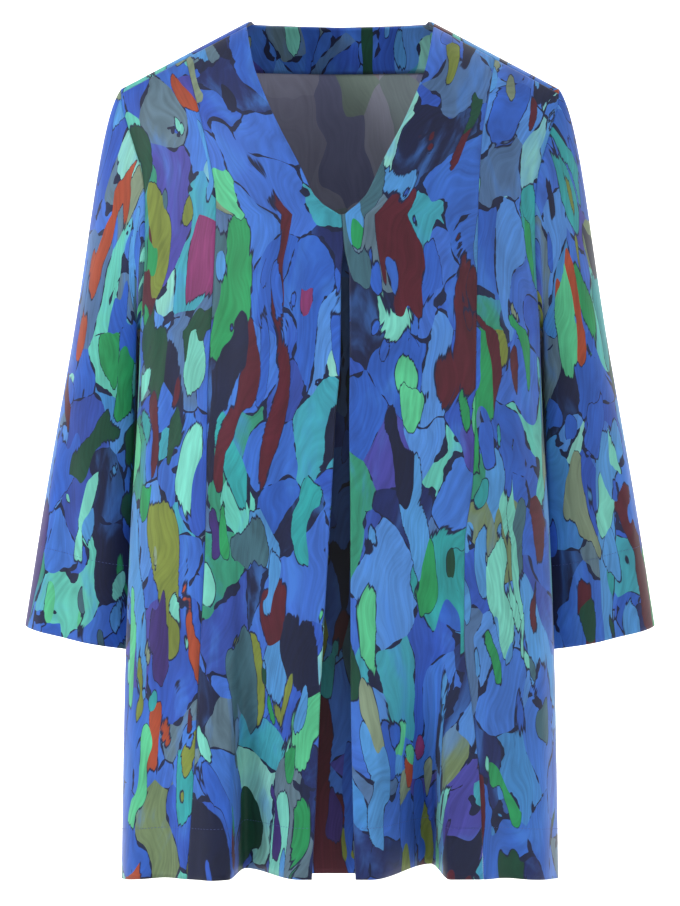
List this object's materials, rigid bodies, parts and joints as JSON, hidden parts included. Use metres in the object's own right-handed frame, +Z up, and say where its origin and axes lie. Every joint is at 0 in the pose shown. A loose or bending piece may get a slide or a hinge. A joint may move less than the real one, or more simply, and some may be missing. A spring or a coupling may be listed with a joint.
{
  "type": "long blouse",
  "caption": "Long V-neck blouse with wide three-quarter sleeves and an inverted front pleat, filled out as if worn, open at neck, cuffs and hem.",
  "frame": {"origin": "centre of the blouse between the shoulders, where the wearer holds it up", "axes": "+Z up towards the neck, +Y towards the back, +X towards the right-hand side of someone who looks at the front"},
  "size_m": [0.6138, 0.2717, 0.8096],
  "materials": {
    "printed_cloth": "soft printed crepe with a slight sheen, blue with small patches of other colours",
    "underlay_cloth": "the same printed crepe, in the shade of the pleat"
  },
  "bodies": {
    "root": {"front_left": "printed_cloth", "front_right": "printed_cloth", "pleat_underlay": "underlay_cloth", "side_front_left": "printed_cloth", "side_front_right": "printed_cloth", "back": "printed_cloth", "back_neck_facing": "printed_cloth", "sleeve_left": "printed_cloth", "sleeve_right": "printed_cloth"}
  },
  "joints": []
}
